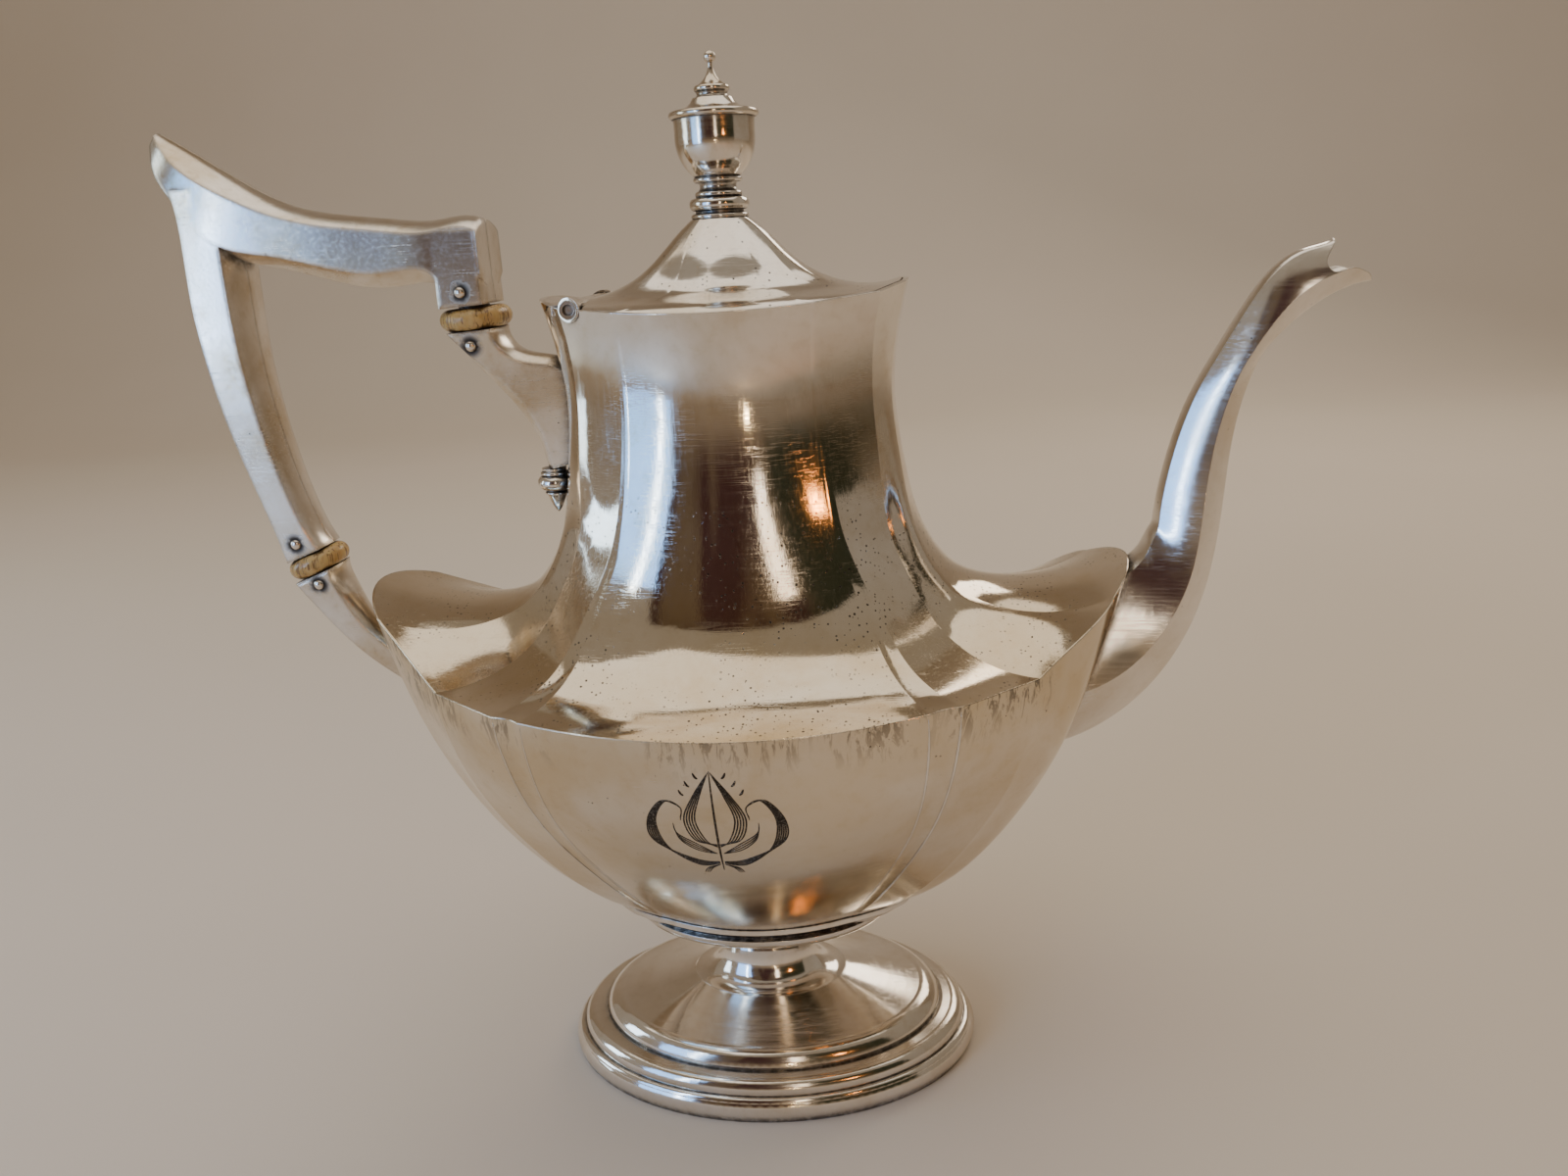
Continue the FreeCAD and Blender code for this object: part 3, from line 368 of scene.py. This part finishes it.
def floor():
    """A pale sweep: flat under the pot, curving up into a wall behind it."""
    reach, back, curve, top, steps = 2.6, 1.1, 0.5, 2.2, 8
    rows = [(-reach, 0.0), (back, 0.0)]
    for step in range(1, steps + 1):
        turn = math.radians(90 * step / steps)
        rows.append((back + curve * math.sin(turn), curve - curve * math.cos(turn)))
    rows.append((back + curve, top))
    data = bpy.data.meshes.new("sweep")
    points = [(x, y, z) for y, z in rows for x in (-reach, reach)]
    faces = [(2 * i, 2 * i + 1, 2 * i + 3, 2 * i + 2) for i in range(len(rows) - 1)]
    data.from_pydata(points, [], faces)
    data.polygons.foreach_set("use_smooth", [True] * len(faces))
    sweep = bpy.data.objects.new("sweep", data)
    bpy.context.scene.collection.objects.link(sweep)
    t = Tree("sweep_paper")
    t.put(t.mix(t.noise((0.004, 0.004, 0.004), 2.0), (0.72, 0.63, 0.52), (0.77, 0.68, 0.57)),
          t.shader.inputs["Base Color"])
    t.shader.inputs["Roughness"].default_value = 0.8
    data.materials.append(t.material)


# ---- small pieces ----------------------------------------------------------------------
def finish_piece(name, made, material):
    """Turn a bmesh into a smooth-shaded piece that rides with the pot."""
    data = bpy.data.meshes.new(name)
    bmesh.ops.recalc_face_normals(made, faces=made.faces)
    made.to_mesh(data)
    made.free()
    data.polygons.foreach_set("use_smooth", [True] * len(data.polygons))
    piece = bpy.data.objects.new(name, data)
    bpy.context.scene.collection.objects.link(piece)
    data.materials.append(material)
    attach(piece, "pot")


def lathe(made, profile, place, steps=24):
    """Closed turned form; profile is (radius, height) in mm from base centre to top centre."""
    rings = []
    for radius, height in profile:
        if radius == 0:
            rings.append([made.verts.new(place @ Vector((0, 0, height * MM)))])
        else:
            rings.append([made.verts.new(place @ Vector((
                radius * MM * math.cos(math.tau * i / steps),
                radius * MM * math.sin(math.tau * i / steps), height * MM))) for i in range(steps)])
    for low, high in zip(rings, rings[1:]):
        for i in range(steps):
            j = (i + 1) % steps
            corners = [low[i % len(low)], low[j % len(low)], high[j % len(high)], high[i % len(high)]]
            made.faces.new(list(dict.fromkeys(corners)))


# Half outline of a rivet's head: radius and height above the metal, in mm.
HEAD = ((0, -0.5), (1.25, -0.5), (1.25, 0.12), (1.1, 0.34), (0.8, 0.56), (0.42, 0.7), (0, 0.75))


def rivet_heads(material):
    """Low domed heads on both ends of each pin."""
    made = bmesh.new()
    for x, z, half in RIVETS:
        for side in (-1, 1):
            place = Matrix.Translation(Vector((x, side * half, z)) * MM)
            place = place @ Matrix.Rotation(math.radians(-90 * side), 4, "X")
            lathe(made, HEAD, place)
    finish_piece("rivet_heads", made, material)


def surface_of(node):
    data = frame["nodes"][node].data
    return BVHTree.FromPolygons([v.co for v in data.vertices], [p.vertices[:] for p in data.polygons])


def prism(made, rows):
    """Close a run of equal loops of vertices into a solid."""
    count = len(rows[0])
    for low, high in zip(rows, rows[1:]):
        for i in range(count):
            j = (i + 1) % count
            made.faces.new((low[i], low[j], high[j], high[i]))
    made.faces.new(rows[0])
    made.faces.new(rows[-1][::-1])


# Cross-section of an engraved line (share of half its width, height in mm).
CUT_SECTION = ((-1, 0.03), (0, 0.035), (1, 0.03), (0, -0.2))


def ribbon(made, skin, sheet, line, widths):
    """A tapered cut that follows the skin; line is (right, up) in mm on the sheet."""
    rows = []
    for i, spot in enumerate(line):
        before, after = line[max(i - 1, 0)], line[min(i + 1, len(line) - 1)]
        along = Vector((after[0] - before[0], after[1] - before[1])).normalized() * widths[i] / 2
        row = []
        for shift, lift in CUT_SECTION:
            right = spot[0] - along.y * shift
            up = spot[1] + along.x * shift
            place = sheet @ Vector((right * MM, up * MM, 0.03))
            hit, normal, _, _ = skin.ray_cast(place, -sheet.col[2].to_3d(), 0.08)
            row.append(made.verts.new(hit + normal * (lift * MM)))
        rows.append(row)
    prism(made, rows)


def bend(points, steps=18):
    """Points along a smooth curve through the given control points (Catmull-Rom)."""
    ends = [points[0]] + list(points) + [points[-1]]
    made = []
    for a, b, c, d in zip(ends, ends[1:], ends[2:], ends[3:]):
        for i in range(steps):
            u = i / steps
            made.append(tuple(
                0.5 * (2 * q + (r - p) * u + (2 * p - 5 * q + 4 * r - s) * u * u
                       + (3 * q - p - 3 * r + s) * u ** 3)
                for p, q, r, s in zip(a, b, c, d)))
    return made + [points[-1]]


# Where the engraver's leaf sits on the bowl's front, seen from the front, in mm.
LEAF_AT = (-2.2, -100.0, 92.5)


def engraving(material):
    """A generic leaf spray, mirrored about its stem, cut as fine tapering lines."""
    skin = surface_of("body_bowl")
    middle, normal, _, _ = skin.ray_cast(Vector(LEAF_AT) * MM, Vector((0, 1, 0)), 0.2)
    right = Vector((0, 0, 1)).cross(normal).normalized()
    up = normal.cross(right)
    sheet = Matrix.Translation(middle) @ Matrix((right, up, normal)).transposed().to_4x4()
    made = bmesh.new()

    def cut(points, width, mirror=True, steps=10):
        line = [(x * 1.05, z * 1.4) for x, z in bend(points, steps)]
        count = len(line) - 1
        widths = [max(width * math.sin(math.pi * min(1.0, 0.04 + 0.92 * i / count)) ** 0.6, 0.05)
                  for i in range(count + 1)]
        ribbon(made, skin, sheet, line, widths)
        if mirror:
            ribbon(made, skin, sheet, [(-x, z) for x, z in line], widths)

    cut([(0, -11.0), (0.0, -5), (0, 2), (0, 10.0)], 0.5, mirror=False)
    for k in range(6):
        grow = k * 0.55
        cut([(0.5, -9.2 + grow * 0.2), (5.0, -9.6 + grow * 0.5), (10.6 + grow * 0.9, -5.6 + grow * 0.4),
             (12.2 + grow * 0.6, 0.2), (9.6 + grow * 0.3, 4.4), (6.6, 3.4),
             (6.9, 0.8 + grow * 0.2)], 0.36)
    for k in range(5):
        grow = k * 0.55
        cut([(0.3, -5.0 + grow * 0.3), (2.4 + grow, -3.4), (4.0 + grow, 1.0), (2.4 + grow * 0.6, 5.6),
             (0.2, 9.8)], 0.34)
    for k in range(4):
        grow = k * 0.5
        cut([(0.6, -6.6), (4.4, -5.8 + grow), (7.6 + grow * 0.3, -3.6 + grow),
             (8.6, -0.8 + grow * 0.6)], 0.3)
    for k in range(3):
        grow = k * 0.45
        cut([(0.4, -9.4), (2.2 + grow, -10.4), (3.2 + grow, -11.8)], 0.3)
    for x, z in ((4.6, 7.6), (6.0, 6.0), (2.8, 9.0)):
        cut([(x - 0.5, z - 0.3), (x, z), (x + 0.4, z + 0.7)], 0.5)
    finish_piece("engraved_leaf", made, material)


# The bowl's flutes on one quarter: x, y, z of the middle and the width, in mm.
FLUTE = ((46.5, 53.5, 113.6, 7.5), (45.4, 50.4, 100.5, 6.4), (42.0, 44.2, 84.8, 5.2),
         (36.2, 35.6, 69.8, 4.2), (30.6, 28.4, 58.4, 3.4), (26.6, 23.4, 52.0, 2.9))
FLUTE_RUN = (0.87, 0.49)
# Cross-section of the ridge on a flute's edge: across and out of the metal, in mm.
RIDGE_SECTION = ((-0.34, -0.03), (-0.14, 0.10), (0.14, 0.10), (0.34, -0.03), (0.0, -0.35))


def flute_edges(material):
    """A fine burnished ridge down both edges of each of the bowl's four flutes."""
    skin = surface_of("body_bowl")
    made = bmesh.new()
    for side_x, side_y, edge in ((x, y, e) for x in (-1, 1) for y in (-1, 1) for e in (-0.5, 0.5)):
        ends = [(x + edge * w * FLUTE_RUN[0], y - edge * w * FLUTE_RUN[1], z) for x, y, z, w in FLUTE]
        flat = bend([(math.hypot(x, y), z) for x, y, z in ends], 8)
        turns = bend([(math.atan2(y, x), z) for x, y, z in ends], 8)
        rows = []
        for i, ((_, z), (turn, _)) in enumerate(zip(flat, turns)):
            away = Vector((side_x * math.cos(turn), side_y * math.sin(turn), 0))
            hit, normal, _, _ = skin.ray_cast(Vector((0, 0, z * MM)) + away * 0.2, -away, 0.2)
            across = normal.cross(Vector((0, 0, 1))).normalized()
            taper = min(1.0, 0.15 + 6.0 * min(i, len(flat) - 1 - i) / len(flat))
            rows.append([made.verts.new(hit + (across * shift + normal * lift) * taper * MM)
                         for shift, lift in RIDGE_SECTION])
        prism(made, rows)
    finish_piece("flute_edges", made, material)


# ---- the pot ---------------------------------------------------------------------------
def dress():
    # The two heights given to the neck and the bowl bound the painted warm reflection near the
    # shoulder.
    neck = silver("silver_neck", rough=0.05, toast=0.6, scratch=0.6, grain=(2.0, 2.0, 0.05),
                  ripple=0.05, pits=(108, 150, 0.8), painted_reflection_heights=(152, 122))
    bowl = silver("silver_bowl", rough=0.13, toast=0.6, scratch=0.5, grain=(0.06, 0.06, 3.0),
                  ripple=0.06, pits=(60, 122, 0.1), stains=(102, 120, 1.0),
                  painted_reflection_heights=(30, 60))
    foot = silver("silver_foot", rough=0.08, toast=0.5, scratch=0.5, ripple=0.012, reach=3.2)
    handle = silver("silver_handle", rough=0.16, toast=0.85, scratch=0.5, grain=(1.2, 1.2, 1.2),
                    ripple=0.05, pits=(120, 250, 0.1), halos=RIVETS, reach=3.4, edge=1.5)
    spout = silver("silver_spout", rough=0.13, toast=0.5, scratch=0.6, ripple=0.03,
                   pits=(60, 200, 0.1))
    lid = silver("silver_lid", rough=0.09, toast=0.6, scratch=0.6, ripple=0.02, pits=(190, 215, 0.35))
    turned = silver("silver_finial", rough=0.09, toast=0.8, scratch=0.4, ripple=0.01, reach=3.6,
                    patina=1.0, edge=0.25)
    hinge = silver("silver_hinge", rough=0.16, toast=0.6, ripple=0.01, reach=1.2, edge=0.2)
    inside = silver("silver_inside", rough=0.34, toast=0.9, ripple=0.02, clean=(0.7, 0.66, 0.6))
    bone = ivory()
    looks = {
        "body_neck": neck, "body_bowl": bowl, "bowl_base": foot, "foot_stem": foot, "foot_dome": foot,
        "foot_step": foot, "foot_ring": foot, "spout": spout, "handle_front_half": handle,
        "handle_back_half": handle, "upper_socket": handle, "lower_socket": handle,
        "socket_drop": turned, "lid_shell": lid, "finial_collar": turned, "finial_urn": turned,
        "finial_cap": turned, "upper_insulator": bone, "lower_insulator": bone,
        "lid_knuckles": hinge, "fixed_knuckles": hinge, "hinge_pin": hinge, "hinge_plate": hinge,
        "dowel_pins": hinge, "lid_bezel": inside, "lid_seat": inside, "finial_stud": inside,
        "finial_washer": inside, "finial_nut": inside}
    for name, node in frame["nodes"].items():
        node.data.materials.clear()
        node.data.materials.append(looks[name])
    rivet_heads(hinge)
    engraving(dark_line())
    flute_edges(spout)


camera()
world()
lights()
room_card()
floor()
dress()
